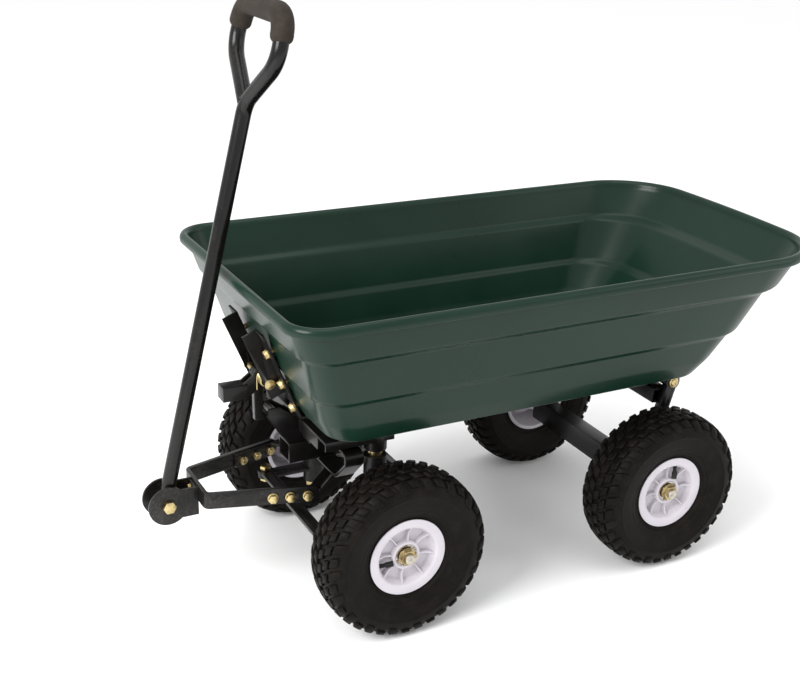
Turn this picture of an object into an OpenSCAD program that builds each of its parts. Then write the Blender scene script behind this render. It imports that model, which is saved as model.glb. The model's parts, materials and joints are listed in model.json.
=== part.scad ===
// Four-wheeled garden dump cart: a poly tray that tips on a rear hinge rod, a steel
// frame, steered front wheels, and a pull handle on a forked drawbar.
// +X points to the handle, +Y to the cart's left, +Z up. The origin lies on the
// ground, halfway between the axles on the cart's centre plane.

/* [Wheels] */
// Outer radius of the tyres
wheel_r = 130; // [126:1:131]
// Width of each tyre over its sidewalls
tyre_w = 85; // [80:1:85]
// Distance between the front and rear axles
wheelbase = 470; // [468:1:474]
// Distance between the left and right wheel centres
track = 392; // [392:1:410]

/* [Tray] */
// Height of the tray's rim above the ground
rim_z = 511; // [505:1:530]
// Half width of the tray's rim, over the rolled lip
rim_half = 255; // [245:1:265]
// Front end of the rim, over the rolled lip
rim_front = 420; // [412:1:421]
// Rear end of the rim at its corners, over the rolled lip
rim_rear = 492; // [480:1:500]
// How far the rear edge of the rim bows out
rim_bow = 14; // [0:1:25]
// Wall thickness of the tray
tray_t = 4; // [3:0.5:5]

/* [Handle] */
// Backward lean of the parked handle, in degrees
handle_lean = 13.1; // [12.5:0.1:13.5]
// Length of the straight part, from the pivot to the first bend
handle_straight = 576; // [540:1:620]
// Radius of the handle tube
handle_r = 11; // [9.5:0.5:12]

/* [Hidden] */
$fn = 64;
gap = 0.3;          // clearance left between pieces that move past each other
axle_z = wheel_r;
axle_x = wheelbase / 2;
wheel_y = track / 2;
tyre_half = tyre_w / 2;
axle_end = wheel_y + 38;

axle_r = 8;
bearing_bore = axle_r + 0.05;
hub_r = 22;
hub_half = 24;
bearing_r = 17.5;
bearing_w = 12;
collar_r = 12;
collar_end = wheel_y - hub_half - gap;
rim_edge = 29.6;
rim_r = 60;
bead_r = 57.7;
dish_r = 40;
dish_y = 14;
valve_r = 4.1;

kingpin_y = 112;
kingpin_r = 8;
post_r = 17;
post_bottom = 95;
post_top = 244;
boss_bottom = 254;
steer_crank = 85;   // from the kingpin forward to the tie rod's pin
drag_crank = 60;    // from the kingpin back to the drag link's pin
link_pin_r = 5;
tie_z = 122.3;
link_t = 6;

rail_y = 53;
rail_half = 12.5;
rail_top = 280;
rail_t = 2;
saddle_top = 284;
saddle_x0 = 212;
saddle_x1 = 322;
saddle_half = 128;
frame_bolt_x = [saddle_x0 + 12, saddle_x1 - 40];
plate_t = 4;
strap_t = 5;
hoop_x0 = 256;
hoop_x1 = 286;
hoop_top = 252.5;
hoop_low = 201.5;
hoop_bend = 11.5;
hoop_foot_bend = 20;
nose_z0 = 204;
nose_z1 = 236;
nose_x1 = 333;
nose_half = 20;

hinge_x = -281;
hinge_z = 284;
hinge_r = 6;
leg_y0 = 138;
leg_y1 = 150;
leg_w = 19;
beam_z0 = 104;
beam_z1 = 142;
beam_half = 15;
beam_t = 3;
cross_z0 = 247;
cross_z1 = 272;
cross_x0 = -278;
cross_x1 = -253;

floor_z = 303;
lip_run = 11.5;     // how far the rolled lip stands out of the wall
tray_low = [-316, 328, 180, 52, 42, 5];
tray_high = [lip_run - rim_rear, rim_front - lip_run, rim_half - lip_run, 108, 44, rim_bow];
corner_steps = 8;
bow_steps = 6;

slope_x = 331;      // foot of the tray's front bracket
slope_z = 300;
slope_a = 23.3;
slope_len = 150;
flange_t = 3;
cheek_y = 38;
cheek_depth = 25;
cheek_foot = 38;
strap_y = 68;
under_z = 290;
slope_bolts = [16, 59, 114];
wall_bolt_r = 4;
floor_bolt_x = [250, -220];
floor_head_r = 8;
floor_seat_z = floor_z + 2;  // the flat heads sit flush in the tray's floor

latch_x = 372;
latch_z = 350;
latch_pin_r = 5;
strike_x = 356;
strike_z = 292;
strike_r = 6;
hook_tip = strike_x + strike_r + 0.8;
hook_half = 5;
fork_t = 4;

bar_t = 6;
bar_z0 = 171;
bar_z1 = 196;
bar_front = 476;
arm_x = 466.4;
arm_y = 45;
arm_splay = 15.2;
arm_len = 148;
corner_r = 9;
plate_z0 = 188;
plate_z1 = 193;
arm_bolts = [90, 116, 142];

yoke_x = 521;
yoke_z = 172;
yoke_bolt_y = [-7, 7];
ear_r = 30;
ear_in = 14;
ear_t = 4;
pivot_r = 6;
eye_r = 14;
grip_r = 15.5;
neck_bend = 35;
neck_turn = 50;
side_bend = 45;
side_turn = 60;
side_run = 62;
end_run = 76;
cap_run = 12;
top_bend = 28;
top_run = 91.4;
seam = 0.15;        // how far the ring where a bend meets a straight run stands out
seam_half = 1;      // and how far along the tube it reaches on each side

// ---------- shapes that repeat ----------

module box(lo, hi) {
    translate(lo) cube(hi - lo);
}

module both_sides() {
    children();
    mirror([0, 1, 0]) children();
}

module rod_y(r, x, z, y0, y1) {
    translate([x, y0, z]) rotate([-90, 0, 0]) cylinder(r = r, h = y1 - y0);
}

module rod_z(r, x, y, z0, z1) {
    translate([x, y, z0]) cylinder(r = r, h = z1 - z0);
}

module hex_z(r, x, y, z0, z1) {
    translate([x, y, z0]) cylinder(r = r, h = z1 - z0, $fn = 6);
}

// A bolt along the local +Z: washer and hexagon head above z = 0, shank below it
module bolt(r, length, head_r, head_h) {
    translate([0, 0, -length]) cylinder(r = r, h = length);
    cylinder(r = head_r + 1, h = 1.5);
    translate([0, 0, 1.5]) cylinder(r = head_r, h = head_h, $fn = 6);
}

// An outline in X and Z, extruded along Y
module side_plate(points, y0, y1) {
    translate([0, y1, 0]) rotate([90, 0, 0]) linear_extrude(y1 - y0) polygon(points);
}

// ---------- wheels ----------

tyre_out = [[58, 26], [62, 28.5], [70, 33], [82, tyre_half - 4], [95, tyre_half - 1],
    [wheel_r - 24, tyre_half], [wheel_r - 14, tyre_half - 1.5], [wheel_r - 7, tyre_half - 6.5],
    [wheel_r - 3, tyre_half - 14], [wheel_r - 0.5, tyre_half - 27], [wheel_r, 0]];
tyre_in = [[wheel_r - 9, 0], [wheel_r - 10, 16], [wheel_r - 14, 27], [wheel_r - 22, 33],
    [95, 33], [82, 30], [70, 24], [58, 18]];

function flipped(points) = [for (i = [len(points) - 2 : -1 : 0]) [points[i][0], -points[i][1]]];
function turned_back(points) = [for (i = [len(points) - 1 : -1 : 1]) [points[i][0], -points[i][1]]];

module tyre_section() {
    polygon(concat(tyre_out, flipped(tyre_out), turned_back(tyre_in), tyre_in));
}

// A wheel piece is made about the Z axis, outer face up, then stood on its axle
module on_axle(front, side, phase) {
    translate([front * axle_x, side * wheel_y, axle_z])
        rotate([-90 * side, 0, 0]) rotate(phase) children();
}

module tyre() {
    color("#1b1a1b") rotate_extrude($fn = 96) tyre_section();
}

module valve_bore(r) {
    translate([47, 0, 16]) rotate([0, -66, 0]) cylinder(r = r, h = 26);
}

module rim() {
    color("#e8e6ee") difference() {
        union() {
            rotate_extrude() polygon([[10, -bearing_w], [bearing_r, -bearing_w],
                [bearing_r, -hub_half], [hub_r, -hub_half], [hub_r, dish_y - 4],
                [dish_r + 2, dish_y - 4], [dish_r + 9, rim_edge - 4], [53.7, rim_edge - 4],
                [53.7, -rim_edge], [rim_r, -rim_edge], [rim_r, 2 - rim_edge],
                [bead_r, 2 - rim_edge], [bead_r, rim_edge - 2], [rim_r, rim_edge - 2],
                [rim_r, rim_edge], [47, rim_edge], [dish_r, dish_y], [hub_r, dish_y],
                [hub_r, hub_half], [bearing_r, hub_half], [bearing_r, bearing_w],
                [10, bearing_w]]);
            for (i = [0 : 7])
                rotate(22.5 + 45 * i) translate([hub_r - 1, -1.5, dish_y - 1]) cube([20, 3, 8]);
        }
        valve_bore(valve_r + 0.1);
    }
}

module bearings() {
    color("#9b9ba0") for (end = [-1, 1]) scale([1, 1, end]) translate([0, 0, bearing_w + 0.2])
        difference() {
            cylinder(r = bearing_r, h = bearing_w - 0.4);
            translate([0, 0, -1]) cylinder(r = bearing_bore, h = bearing_w + 2);
        }
}

module valve() {
    color("#161616") valve_bore(valve_r);
}

// Nut and washer that hold a wheel on the end of its axle, on the side given
module axle_nut(x, side) {
    y = wheel_y + hub_half + gap;
    translate([x, side * y, axle_z]) rotate([-90 * side, 0, 0]) difference() {
        union() {
            cylinder(r = 13, h = 2);
            translate([0, 0, 2]) cylinder(r = 12.5, h = 7, $fn = 6);
        }
        translate([0, 0, -1]) cylinder(r = axle_r, h = 12);
    }
}

// ---------- frame ----------

module front_saddle() {
    color("#202022") difference() {
        union() {
            box([saddle_x0, -saddle_half, rail_top], [saddle_x1, saddle_half, saddle_top]);
            both_sides() {
                box([saddle_x0, saddle_half - 3, rail_top - 10], [saddle_x1, saddle_half, rail_top]);
                box([saddle_x1 - 3, 30, rail_top - 18], [saddle_x1, 100, rail_top]);
                rod_z(post_r, axle_x, kingpin_y, boss_bottom, rail_top);
            }
        }
        both_sides() {
            rod_z(kingpin_r + 0.05, axle_x, kingpin_y, boss_bottom - 1, saddle_top + 1);
            for (x = frame_bolt_x) rod_z(wall_bolt_r + 0.1, x, rail_y, rail_top - 1, saddle_top + 1);
        }
    }
}

module frame_rails() {
    color("#202022") both_sides() difference() {
        box([cross_x1, rail_y - rail_half, rail_top - 2 * rail_half],
            [saddle_x1 - 3, rail_y + rail_half, rail_top]);
        box([cross_x1 - 1, rail_y - rail_half + rail_t, rail_top - 2 * rail_half + rail_t],
            [saddle_x1, rail_y + rail_half - rail_t, rail_top - rail_t]);
        for (x = frame_bolt_x) rod_z(wall_bolt_r + 0.1, x, rail_y, rail_top - 3, rail_top + 1);
    }
}

// A ring sector in the plane, from angle a0 to a1, less than a half turn
module bend(radius, t, a0, a1) {
    far = 3 * radius;
    intersection() {
        difference() {
            circle(radius + t / 2);
            circle(radius - t / 2);
        }
        polygon([[0, 0], far * [cos(a0), sin(a0)], far * [cos((a0 + a1) / 2), sin((a0 + a1) / 2)],
            far * [cos(a1), sin(a1)]]);
    }
}

// The hoop's outline across the cart, one half: Y runs across and the second axis is up
module hoop_half() {
    outer_y = 105;
    drop_y = outer_y + hoop_bend * cos(45);
    drop_z = hoop_top - hoop_bend * (1 + sin(45));
    foot_z = hoop_low + hoop_foot_bend * (1 - cos(45));
    run = drop_z - foot_z;
    foot_y = drop_y - run - hoop_foot_bend * sin(45);
    translate([-0.01, hoop_top - strap_t / 2]) square([outer_y + 0.01, strap_t]);
    translate([outer_y, hoop_top - hoop_bend]) {
        bend(hoop_bend, strap_t, 90, 20);
        bend(hoop_bend, strap_t, 21, -45);
    }
    translate([drop_y, drop_z]) rotate(-135) translate([0, -strap_t / 2])
        square([run * sqrt(2), strap_t]);
    translate([foot_y, hoop_low + hoop_foot_bend]) bend(hoop_foot_bend, strap_t, -45, -90);
    translate([-0.01, hoop_low - strap_t / 2]) square([foot_y + 0.01, strap_t]);
}

module pivot_hoop() {
    color("#202022") translate([hoop_x0, 0, 0]) rotate([90, 0, 90])
        linear_extrude(hoop_x1 - hoop_x0) {
            hoop_half();
            mirror([1, 0]) hoop_half();
        }
}

module nose_tube() {
    color("#202022") difference() {
        box([saddle_x0, -nose_half, nose_z0], [nose_x1, nose_half, nose_z1]);
        box([saddle_x0 - 1, 3 - nose_half, nose_z0 + 3], [nose_x1 + 1, nose_half - 3, nose_z1 - 3]);
        rod_z(pivot_r + 0.1, axle_x, 0, nose_z0 - 1, nose_z1 + 1);
    }
}

module latch_strike() {
    color("#202022") {
        both_sides() side_plate([[hoop_x1, nose_z1], [nose_x1, nose_z1],
            [strike_x + 9, strike_z - 6], [strike_x + 9, strike_z + 6], [strike_x - 9, strike_z + 6],
            [saddle_x1, rail_top], [hoop_x1, rail_top]], 14, 18);
        rod_y(strike_r, strike_x, strike_z, -15, 15);
    }
}

module rear_cross_tube() {
    color("#202022") difference() {
        box([cross_x0, -leg_y0, cross_z0], [cross_x1, leg_y0, cross_z1]);
        box([cross_x0 + 2, -leg_y0 - 1, cross_z0 + 2], [cross_x1 - 2, leg_y0 + 1, cross_z1 - 2]);
    }
}

module rear_legs() {
    rise = hinge_z - beam_z1;
    run = -axle_x - 5 - hinge_x;
    color("#202022") both_sides() difference() {
        union() {
            translate([hinge_x, leg_y0, hinge_z]) rotate([0, 180 - atan(run / rise), 0])
                translate([-leg_w / 2, 0, 0]) cube([leg_w, leg_y1 - leg_y0, rise * 1.1]);
            rod_y(13, hinge_x, hinge_z, leg_y0, leg_y1);
        }
        rod_y(hinge_r, hinge_x, hinge_z, leg_y0 - 1, leg_y1 + 1);
        box([hinge_x, leg_y0 - 1, beam_z0], [0, leg_y1 + 1, beam_z1]);
    }
}

module rear_axle_beam() {
    color("#202022") difference() {
        box([-axle_x - beam_half, -leg_y1, beam_z0], [-axle_x + beam_half, leg_y1, beam_z1]);
        box([beam_t - axle_x - beam_half, beam_t - leg_y1, beam_z0 - 1],
            [beam_half - beam_t - axle_x, leg_y1 - beam_t, beam_z1 - beam_t]);
        rod_y(axle_r, -axle_x, axle_z, -leg_y1 - 1, leg_y1 + 1);
    }
}

module rear_axle() {
    color("#b9b6a6") union() {
        rod_y(axle_r, -axle_x, axle_z, -axle_end, axle_end);
        both_sides() rod_y(collar_r, -axle_x, axle_z, leg_y1, collar_end);
    }
}

module rear_axle_nuts() {
    color("#c9a94a") {
        axle_nut(-axle_x, 1);
        axle_nut(-axle_x, -1);
    }
}

module kingpin_bolts() {
    color("#c9a94a") both_sides() {
        rod_z(kingpin_r, axle_x, kingpin_y, post_bottom - 14, saddle_top + 1);
        hex_z(13, axle_x, kingpin_y, saddle_top, saddle_top + 9);
        rod_z(11, axle_x, kingpin_y, post_top + gap, boss_bottom);
        hex_z(13, axle_x, kingpin_y, post_bottom - 10 - gap, post_bottom - gap);
    }
}

module drawbar_pivot_bolt() {
    color("#c9a94a") {
        rod_z(pivot_r, axle_x, 0, plate_z0 - 12, nose_z1 + 9);
        hex_z(10, axle_x, 0, nose_z1, nose_z1 + 8);
        hex_z(10, axle_x, 0, plate_z0 - 8 - gap, plate_z0 - gap);
    }
}

module frame_bolts() {
    color("#c9a94a") both_sides() for (x = frame_bolt_x)
        translate([x, rail_y, saddle_top]) bolt(wall_bolt_r, 6, 6.5, 4);
}

module rest_pads() {
    color("#141414") both_sides()
        box([saddle_x1 - 34, cheek_y - 6, saddle_top], [saddle_x1 - 8, cheek_y + 7, under_z - gap]);
}

module tray_hinge_rod() {
    color("#c9a94a") {
        rod_y(hinge_r, hinge_x, hinge_z, -leg_y1 - 4, leg_y1 + 4);
        both_sides() rod_y(9, hinge_x, hinge_z, leg_y1, leg_y1 + 2.5);
    }
}

// ---------- tray ----------

// Corner arc of an outline: centre, radius and start angle of its quarter turn
function corner(cx, cy, r, start) =
    [for (i = [0 : corner_steps]) [cx + r * cos(start + 90 * i / corner_steps),
        cy + r * sin(start + 90 * i / corner_steps)]];

// Rounded outline with a bowed rear edge: s = [rear, front, half width, rear corner
// radius, front corner radius, bow], grown outwards by g
function outline(s, g) = let(
    xr = s[0] - g, xf = s[1] + g, hw = s[2] + g, rr = s[3] + g, rf = s[4] + g,
    flat = concat(corner(xf - rf, hw - rf, rf, 0), corner(xr + rr, hw - rr, rr, 90),
        [for (i = [1 : bow_steps - 1]) [xr, (hw - rr) * (1 - 2 * i / bow_steps)]],
        corner(xr + rr, rr - hw, rr, 180), corner(xf - rf, rf - hw, rf, 270)))
    [for (p = flat) [p[0] < 0 ? p[0] - s[5] * (1 - pow(p[1] / hw, 2)) : p[0], p[1]]];

// Rings of the tray from the underside, up the outside, over the lip and down inside:
// [height, how far the wall has spread from floor (0) to rim (1), growth]
wall = [[floor_z + 3, 0.02, 0], [floor_z + 29, 0.18, 0], [floor_z + 70, 0.36, 0],
    [floor_z + 76, 0.44, 0], [rim_z - 66, 0.69, 0], [rim_z - 59, 0.82, 0]];
lip = [[rim_z - 13, 1, 0], [rim_z - 8, 1, 2.5], [rim_z - 7, 1, 6], [rim_z - 13, 1, 7.5],
    [rim_z - 15.5, 1, 9.5], [rim_z - 13, 1, lip_run], [rim_z - 6, 1, lip_run],
    [rim_z - 1.5, 1, 8.5], [rim_z, 1, 4.5], [rim_z - 1.5, 1, 0.5], [rim_z - 5, 1, -2.5]];
inside = [for (i = [len(wall) - 1 : -1 : 0]) [wall[i][0] + 1, wall[i][1], -tray_t]];
rings = concat([[floor_z, 0, -2]], wall, lip, [[rim_z - 12, 1, -tray_t]], inside,
    [[floor_z + tray_t, 0, -tray_t - 2]]);

function ring(r) = [for (p = outline(tray_low + (tray_high - tray_low) * r[1], r[2]))
    [p[0], p[1], r[0]]];

module tray_shell() {
    layers = [for (r = rings) ring(r)];
    n = len(layers[0]);
    last = (len(layers) - 1) * n;
    polyhedron(points = [for (l = layers) for (p = l) p], faces = concat(
        [[for (j = [0 : n - 1]) j]],
        [for (i = [0 : len(layers) - 2]) for (j = [0 : n - 1]) for (half = [0, 1])
            let(a = i * n + j, b = i * n + (j + 1) % n)
            half == 0 ? [a, a + n, b] : [b, a + n, b + n]],
        [[for (j = [n - 1 : -1 : 0]) last + j]]), convexity = 6);
}

// Frame of the front bracket: local Z runs up the tray's sloping front, local X points off it
module on_slope() {
    translate([slope_x, 0, slope_z]) rotate([0, slope_a, 0]) children();
}

module slope_bolt_holes(r) {
    on_slope() both_sides() for (s = slope_bolts)
        translate([-30, rail_y, s]) rotate([0, 90, 0]) cylinder(r = r, h = 40);
}

module floor_bolt_holes(r) {
    both_sides() for (x = floor_bolt_x) rod_z(r, x, rail_y, floor_z - 6, floor_z + 8);
}

module tray_tub() {
    color("#2d5c4b") difference() {
        tray_shell();
        slope_bolt_holes(wall_bolt_r + 0.4);
        floor_bolt_holes(wall_bolt_r + 0.4);
        both_sides() for (x = floor_bolt_x)
            rod_z(floor_head_r + 0.2, x, rail_y, floor_seat_z, floor_z + tray_t + 1);
    }
}

// A point of the bracket's side view, off the slope by x and up it by s
function slope_point(x, s) = [slope_x + x * cos(slope_a) + s * sin(slope_a),
    slope_z - x * sin(slope_a) + s * cos(slope_a)];

// The point at height z on the flange's face that stands x off the slope
function on_flange(x, z) = slope_point(x, (z - slope_z + x * sin(slope_a)) / cos(slope_a));

// Left tray rail: a strap under the floor with a stiffening web, turned up the front
// slope, where the web becomes the cheek that carries the latch
module tray_rail() {
    low = floor_z - plate_t;
    color("#202022") difference() {
        union() {
            side_plate([[hinge_x - 15, low], on_flange(flange_t, low),
                slope_point(flange_t, slope_len), slope_point(0, slope_len),
                on_flange(0, floor_z), [hinge_x - 15, floor_z]], cheek_y, strap_y);
            side_plate([[hinge_x + 26, under_z], [slope_x - 16, under_z],
                [slope_x - 16, floor_z - 1], [hinge_x + 26, floor_z - 1]], cheek_y, cheek_y + 3);
            side_plate([slope_point(1, cheek_foot), slope_point(cheek_depth, cheek_foot),
                slope_point(cheek_depth, slope_len), slope_point(1, slope_len)],
                cheek_y, cheek_y + 3);
        }
        slope_bolt_holes(wall_bolt_r + 0.1);
        floor_bolt_holes(wall_bolt_r + 0.1);
        rod_y(latch_pin_r, latch_x, latch_z, cheek_y - 1, cheek_y + 4);
    }
}

module tray_rail_left() {
    tray_rail();
}

module tray_rail_right() {
    mirror([0, 1, 0]) tray_rail();
}

module tray_hinge_bar() {
    low = floor_z - 2 * plate_t;
    color("#202022") difference() {
        union() {
            box([hinge_x - 15, -leg_y0 + 2, low], [hinge_x + 17, leg_y0 - 2, low + plate_t]);
            both_sides() {
                rod_y(11, hinge_x, hinge_z, 122, 132);
                box([hinge_x - 11, 122, hinge_z], [hinge_x + 11, 132, low]);
            }
        }
        rod_y(hinge_r + 0.05, hinge_x, hinge_z, -140, 140);
        floor_bolt_holes(wall_bolt_r + 0.1);
    }
}

module latch_pin() {
    color("#c9a94a") {
        rod_y(latch_pin_r, latch_x, latch_z, -cheek_y - 7, cheek_y + 7);
        both_sides() rod_y(8, latch_x, latch_z, cheek_y + 3, cheek_y + 6);
    }
}

module tray_bolts() {
    color("#c9a94a") {
        on_slope() both_sides() for (s = slope_bolts) translate([flange_t, rail_y, s])
            rotate([0, 90, 0]) {
                bolt(wall_bolt_r, 23, 7, 5);
                translate([0, 0, -22]) cylinder(r = 8, h = 4.5, $fn = 6);
            }
        both_sides() for (x = floor_bolt_x) {
            rod_z(floor_head_r, x, rail_y, floor_seat_z, floor_z + tray_t);
            rod_z(wall_bolt_r, x, rail_y, floor_z - plate_t - 7, floor_seat_z + 0.5);
            hex_z(6.5, x, rail_y, floor_z - plate_t - 6, floor_z - plate_t);
        }
    }
}

// ---------- latch ----------

module latch_hook() {
    color("#202022") difference() {
        union() {
            rod_y(13, latch_x, latch_z, -hook_half, hook_half);
            side_plate([[latch_x - 3, latch_z], [latch_x + 11, latch_z],
                [latch_x + 9, strike_z - 14], [hook_tip + 2, strike_z - 14],
                [hook_tip, strike_z - 10], [hook_tip, strike_z - 7],
                [latch_x - 3, strike_z - 4]], -hook_half, hook_half);
        }
        rod_y(latch_pin_r + 0.05, latch_x, latch_z, -hook_half - 1, hook_half + 1);
    }
}

module latch_lever() {
    color("#26262a") difference() {
        union() {
            both_sides() {
                rod_y(13, latch_x, latch_z, hook_half, hook_half + fork_t);
                side_plate([[latch_x, latch_z + 12], [latch_x - 4, latch_z - 12],
                    [latch_x + 20, latch_z - 31], [latch_x + 28, latch_z - 31],
                    [latch_x + 28, latch_z - 9]], hook_half, hook_half + fork_t);
            }
            box([latch_x + 22, -12, latch_z - 31], [latch_x + 60, 12, latch_z - 9]);
        }
        rod_y(latch_pin_r + 0.05, latch_x, latch_z, -20, 20);
    }
}

// The coil is a sleeve as thick as its wire; its two ends run down and up
module latch_spring() {
    wire = 1.5;
    coil = latch_pin_r + 3;
    coil_len = 20;
    leg = 1.3;
    first = hook_half + fork_t + 0.5;
    color("#d4b95a") {
        difference() {
            rod_y(coil + wire, latch_x, latch_z, first, first + coil_len);
            rod_y(coil - wire, latch_x, latch_z, first - 1, first + coil_len + 1);
        }
        rod_z(leg, latch_x + coil, first + 2, latch_z - 20, latch_z);
        rod_z(leg, latch_x + coil, first + coil_len - 2, latch_z, latch_z + 24);
    }
}

// ---------- drawbar ----------

// Frame of the left drawbar arm: local X runs back along it, local Y points inwards
module along_arm() {
    translate([arm_x, arm_y, 0]) rotate(180 - arm_splay) children();
}

module arm_bolt_holes(r) {
    both_sides() along_arm() for (d = arm_bolts)
        translate([d, -8, (bar_z0 + plate_z0) / 2 + 2]) rotate([-90, 0, 0]) cylinder(r = r, h = 18);
}

module drawbar() {
    mid = (bar_z0 + bar_z1) / 2;
    bend_y = arm_y - corner_r * cos(arm_splay);
    color("#26262a") difference() {
        both_sides() {
            translate([0, 0, bar_z0]) linear_extrude(bar_z1 - bar_z0) {
                translate([bar_front - bar_t, -0.01]) square([bar_t, bend_y + 0.01]);
                translate([bar_front - bar_t / 2 - corner_r, bend_y])
                    bend(corner_r, bar_t, 0, 90 - arm_splay);
                along_arm() translate([-0.5, -bar_t / 2]) square([arm_len + 0.5, bar_t]);
            }
            along_arm() translate([arm_len, bar_t / 2, mid]) rotate([90, 0, 0])
                cylinder(r = (bar_z1 - bar_z0) / 2, h = bar_t);
        }
        arm_bolt_holes(wall_bolt_r + 0.1);
        for (y = yoke_bolt_y) translate([bar_front - 10, y, mid]) rotate([0, 90, 0])
            cylinder(r = wall_bolt_r + 0.1, h = 14);
    }
}

module steering_plate() {
    leg_a = 44.7;
    leg_len = 122;
    color("#26262a") difference() {
        union() {
            translate([axle_x, 0, plate_z0]) linear_extrude(plate_z1 - plate_z0) {
                circle(24);
                translate([-drag_crank, -14]) square([drag_crank, 28]);
                translate([-drag_crank, 0]) circle(14);
            }
            both_sides() {
                along_arm() translate([78, bar_t / 2, bar_z0]) cube([72, 4, plate_z1 - bar_z0]);
                difference() {
                    translate([axle_x, 0, plate_z0]) rotate(leg_a) translate([0, -8, 0])
                        cube([leg_len, 16, plate_z1 - plate_z0]);
                    along_arm() translate([60, bar_t / 2 - 40, bar_z0 - 1]) cube([120, 40, 40]);
                }
            }
        }
        rod_z(pivot_r + 0.05, axle_x, 0, plate_z0 - 1, plate_z1 + 1);
        rod_z(link_pin_r, axle_x - drag_crank, 0, plate_z0 - 1, plate_z1 + 1);
        arm_bolt_holes(wall_bolt_r + 0.1);
    }
}

module pivot_bushing() {
    color("#e0dfd8") difference() {
        rod_z(16, axle_x, 0, plate_z1, nose_z0 - gap);
        rod_z(pivot_r + 0.05, axle_x, 0, plate_z1 - 1, nose_z0 + 1);
    }
}

module handle_yoke() {
    mid = (bar_z0 + bar_z1) / 2;
    back = bar_front + plate_t;
    color("#202022") difference() {
        union() {
            box([bar_front, -ear_in - ear_t, yoke_z - 22.5], [back, ear_in + ear_t, mid + 9.5]);
            both_sides() {
                rod_y(ear_r, yoke_x, yoke_z, ear_in, ear_in + ear_t);
                box([bar_front, ear_in, yoke_z - 22.5], [yoke_x, ear_in + ear_t, yoke_z + 22.5]);
            }
        }
        rod_y(pivot_r, yoke_x, yoke_z, -30, 30);
        for (y = yoke_bolt_y) translate([bar_front - 1, y, mid]) rotate([0, 90, 0])
            cylinder(r = wall_bolt_r + 0.1, h = 10);
    }
}

module drawbar_bolts() {
    mid = (bar_z0 + bar_z1) / 2;
    z = (bar_z0 + plate_z0) / 2 + 2;
    x = axle_x - drag_crank;
    color("#c9a94a") {
        both_sides() along_arm() for (d = arm_bolts) translate([d, -bar_t / 2, z])
            rotate([90, 0, 0]) {
                bolt(wall_bolt_r, 18, 7, 5);
                translate([0, 0, -16]) cylinder(r = 7, h = 6, $fn = 6);
            }
        for (y = yoke_bolt_y) translate([bar_front + plate_t, y, mid]) rotate([0, 90, 0])
            bolt(wall_bolt_r, 14, 5, 3);
        rod_z(link_pin_r, x, 0, plate_z0 - 12, plate_z1 + 1);
        hex_z(8, x, 0, plate_z1, plate_z1 + 5);
        hex_z(8, x, 0, plate_z0 - 12, plate_z0 - link_t - 2 * gap);
    }
}

module handle_pivot_bolt() {
    out = ear_in + ear_t;
    color("#c9a94a") {
        rod_y(pivot_r, yoke_x, yoke_z, -out - 10, out + 1);
        translate([yoke_x, out, yoke_z]) rotate([-90, 0, 0]) cylinder(r = 10, h = 6, $fn = 6);
        translate([yoke_x, -out - 7, yoke_z]) rotate([-90, 0, 0]) cylinder(r = 10, h = 7, $fn = 6);
    }
}

// ---------- handle ----------

module flip_y(on) {
    if (on) mirror([0, 1, 0]) children();
    else children();
}

// A planar tube along steps of [straight length, bend radius, turn angle]: it starts
// along +Z, and a positive turn bends it towards +Y. The last step is a plain end
module tube_run(steps, r, i = 0) {
    cylinder(r = r, h = steps[i][0]);
    if (i < len(steps) - 1) {
        R = steps[i][1];
        a = steps[i][2];
        side = sign(a) * R;
        translate([0, 0, steps[i][0]]) {
            translate([0, 0, -seam_half]) cylinder(r = r + seam, h = 2 * seam_half);
            flip_y(a < 0) translate([0, R, 0]) rotate([90, 0, -90])
                rotate_extrude(angle = abs(a)) translate([R, 0]) circle(r);
            translate([0, side, 0]) rotate([-a, 0, 0]) translate([0, -side, 0]) {
                translate([0, 0, -seam_half]) cylinder(r = r + seam, h = 2 * seam_half);
                tube_run(steps, r, i + 1);
            }
        }
    }
}

top_turn = 90 - side_turn + neck_turn;
loop_steps = [[handle_straight, neck_bend, neck_turn], [side_run, side_bend, -side_turn],
    [cap_run, top_bend, -top_turn], [top_run, top_bend, -top_turn],
    [cap_run, side_bend, -side_turn], [end_run, 0, 0]];

module on_handle() {
    translate([yoke_x, 0, yoke_z]) rotate([0, -handle_lean, 0]) children();
}

module handle_tube() {
    color("#202022") on_handle() difference() {
        union() {
            tube_run(loop_steps, handle_r);
            rod_y(eye_r, 0, 0, -ear_in + gap, ear_in - gap);
        }
        rod_y(pivot_r + 0.05, 0, 0, -30, 30);
    }
}

grip_steps = [[cap_run, top_bend, -top_turn], [top_run, top_bend, -top_turn], [cap_run, 0, 0]];

module foam_grip() {
    y1 = neck_bend * (1 - cos(neck_turn)) + side_run * sin(neck_turn);
    z1 = handle_straight + neck_bend * sin(neck_turn) + side_run * cos(neck_turn);
    head = neck_turn - side_turn;
    y2 = y1 + side_bend * (cos(head) - cos(neck_turn));
    z2 = z1 + side_bend * (sin(neck_turn) - sin(head));
    color("#2b2826") on_handle() difference() {
        translate([0, y2, z2]) rotate([-head, 0, 0]) tube_run(grip_steps, grip_r);
        tube_run(loop_steps, handle_r + 0.02);
    }
}

// ---------- steering ----------

module eye_link(y0, y1, x, z, w, r0, r1) {
    difference() {
        union() {
            box([x - w / 2, y0, z], [x + w / 2, y1, z + link_t]);
            rod_z(w / 2 + 3, x, y0, z, z + link_t);
            rod_z(w / 2 + 3, x, y1, z, z + link_t);
        }
        rod_z(r0, x, y0, z - 1, z + link_t + 1);
        rod_z(r1, x, y1, z - 1, z + link_t + 1);
    }
}

module drag_link() {
    color("#26262a") eye_link(0, kingpin_y, axle_x - drag_crank, plate_z0 - link_t - gap, 18,
        link_pin_r + 0.05, link_pin_r + 0.4);
}

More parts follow.
